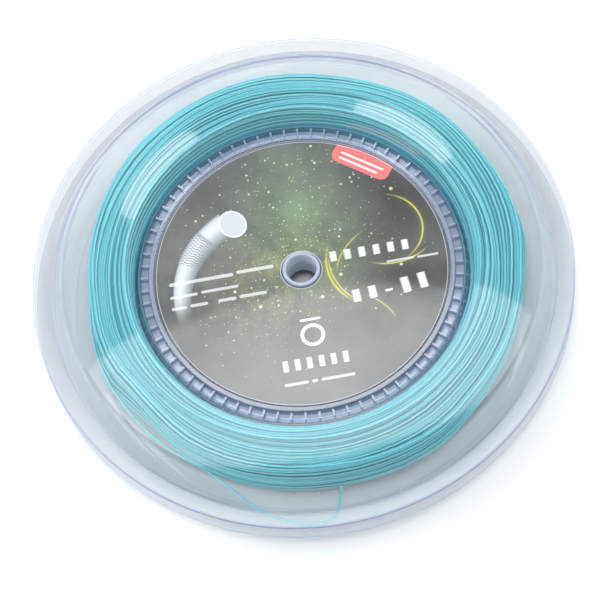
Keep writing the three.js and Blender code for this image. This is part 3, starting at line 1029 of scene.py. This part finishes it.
    # slight orange peel and scuffs in the varnish
    peel = m.noise(v, 0.35, 3.0)
    scuff = m.noise(m.vec(m.mul(x, 0.25), m.mul(y, 1.2), 0.0), 0.8, 4.0, 0.7)
    m.link(m.add(m.mul(m.smooth(scuff, 0.5, 0.8), 0.05), 0.05), p.inputs["Roughness"])
    m.link(m.bump(m.add(m.mul(peel, 0.5), m.mul(grain, 0.03)), 0.10, 0.0001), p.inputs["Normal"])
    p.inputs["IOR"].default_value = 1.65
    m.link(p.outputs[0], m.out.inputs["Surface"])
    return m.mat


# the pale rod's centre line is part of a circle: centre x, y and radius, and the angles it runs between
ROD = (-8.8, -5.9, 27.2)
ROD_A0, ROD_A1 = 167.0, 247.0
ROD_END = (-17.8, 18.9, 4.75)
LABEL = label_material("printed_label")


def disc_mesh(name, upper):
    prof = rounded([(6.0, 4.35), (16, 4.35), (30, 4.35), (43.1, 4.35), (43.1, 4.0), (6.0, 4.0)],
                   [0.08, 0, 0, 0.12, 0.1, 0.05])
    na = 240
    a = np.arange(na) / na * 2 * PI
    P = np.zeros((na, len(prof), 3))
    P[:, :, 0] = np.cos(a)[:, None] * prof[None, :, 0]
    P[:, :, 1] = np.sin(a)[:, None] * prof[None, :, 0]
    P[:, :, 2] = prof[None, :, 1]
    if not upper:
        P[:, :, 1] *= -1
        P[:, :, 2] *= -1
    P[:, :, 2] += MID
    npf = len(prof)
    i = np.arange(na)[:, None]
    j = np.arange(npf)[None, :]
    i2, j2 = (i + 1) % na, (j + 1) % npf
    quads = np.stack([i * npf + j, i2 * npf + j, i2 * npf + j2, i * npf + j2], -1).reshape(-1, 4)
    ob = new_mesh(name, P.reshape(-1, 3), quads, sharp_deg=30)
    ob.data.materials.append(LABEL)
    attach(ob, "root")
    return ob


disc_u = disc_mesh("upper_printed_disc", True)
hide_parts("upper_label_disc")
disc_l = disc_mesh("lower_printed_disc", False)
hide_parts("lower_label_disc")


# ------------------------------------------------------------------------------------------
# Floor, lights, world
# ------------------------------------------------------------------------------------------
def make_stage():
    me = bpy.data.meshes.new("floor")
    s = 3.0
    me.from_pydata([(-s, -s, -0.0001), (s, -s, -0.0001), (s, s, -0.0001), (-s, s, -0.0001)], [], [(0, 1, 2, 3)])
    fl = link(bpy.data.objects.new("floor", me))
    m = Nodes("pale_floor")
    d = m.node("ShaderNodeBsdfDiffuse")
    d.inputs[0].default_value = (0.70, 0.70, 0.702, 1)
    m.link(d.outputs[0], m.out.inputs["Surface"])
    me.materials.append(m.mat)

    def area(name, loc, look, size, power, shape="RECTANGLE", spin=0.0):
        l = bpy.data.lights.new(name, "AREA")
        l.shape = shape
        l.size, l.size_y = size
        l.energy = power
        l.color = (1, 1, 1)
        o = link(bpy.data.objects.new(name, l))
        loc = Vector(loc)
        o.location = loc
        d = (Vector(look) - loc).normalized()
        o.rotation_euler = d.to_track_quat("-Z", "Y").to_euler()
        if spin:
            o.rotation_euler.rotate_axis("Z", spin)
        return o

    # Lamps over the reel, placed where the flat flange mirrors them. A point p of the flange mirrors the
    # point p + (p - foot of the camera) * k at the height h of the lamp.
    cam_xy, cam_z = Vector((0.0, -284.8)), 588.57 - TOP
    h = 500.0
    k = h / cam_z

    def mirrored(px, py):
        q = Vector((px, py))
        q = q + (q - cam_xy) * k
        return (q.x * MM, q.y * MM, (TOP + h) * MM)

    g = 1 + k
    c = mirrored(-4, -34.5)
    area("soft_front", c, (c[0], c[1], 0), (134 * g * MM, 55 * g * MM), 0.140, "ELLIPSE")
    for sx in (-1, 1):
        c = mirrored(sx * 36.6, 36.0)
        o = area("soft_back_%s" % ("left" if sx < 0 else "right"), c, (c[0], c[1], 0),
                 (34 * g * MM, 13 * g * MM), 0.0135, "ELLIPSE")
        o.rotation_euler.rotate_axis("Z", math.radians(45 * sx * -1))
    # broad light from above and all round, out of the flange's mirror
    fills = [
        area("key_top", (-0.05, -0.30, 1.7), (0, 0, 0), (0.7, 0.5), 12.0),
        area("fill_front", (0.0, -1.2, 1.3), (0, 0, 0), (1.6, 1.0), 2.5),
        area("fill_back", (0.0, 1.35, 1.0), (0, 0, 0), (1.4, 0.8), 19.0),
        area("fill_left", (-1.3, 0.2, 1.0), (0, 0, 0), (1.0, 1.0), 18.0),
        area("fill_right", (1.3, 0.2, 1.0), (0, 0, 0), (1.0, 1.0), 13.0),
    ]
    for o in fills:
        o.visible_glossy = False

    w = bpy.data.worlds.new("studio")
    scene.world = w
    w.use_nodes = True
    nt = w.node_tree
    nt.nodes.clear()
    out = nt.nodes.new("ShaderNodeOutputWorld")
    bg = nt.nodes.new("ShaderNodeBackground")
    tc = nt.nodes.new("ShaderNodeTexCoord")
    sp = nt.nodes.new("ShaderNodeSeparateXYZ")
    rp = nt.nodes.new("ShaderNodeValToRGB")
    nt.links.new(tc.outputs["Generated"], sp.inputs[0])
    nt.links.new(sp.outputs[2], rp.inputs[0])
    e = rp.color_ramp.elements
    e[0].position, e[0].color = 0.35, (1.0, 1.0, 1.0, 1)
    e[1].position, e[1].color = 0.80, (0.33, 0.34, 0.355, 1)
    nt.links.new(rp.outputs[0], bg.inputs[0])
    bg.inputs[1].default_value = 1.05
    nt.links.new(bg.outputs[0], out.inputs[0])


make_stage()
scene.view_settings.view_transform = "Standard"
scene.view_settings.look = "None"
scene.cycles.transparent_max_bounces = 32
scene.cycles.max_bounces = 10
scene.cycles.use_denoising = True
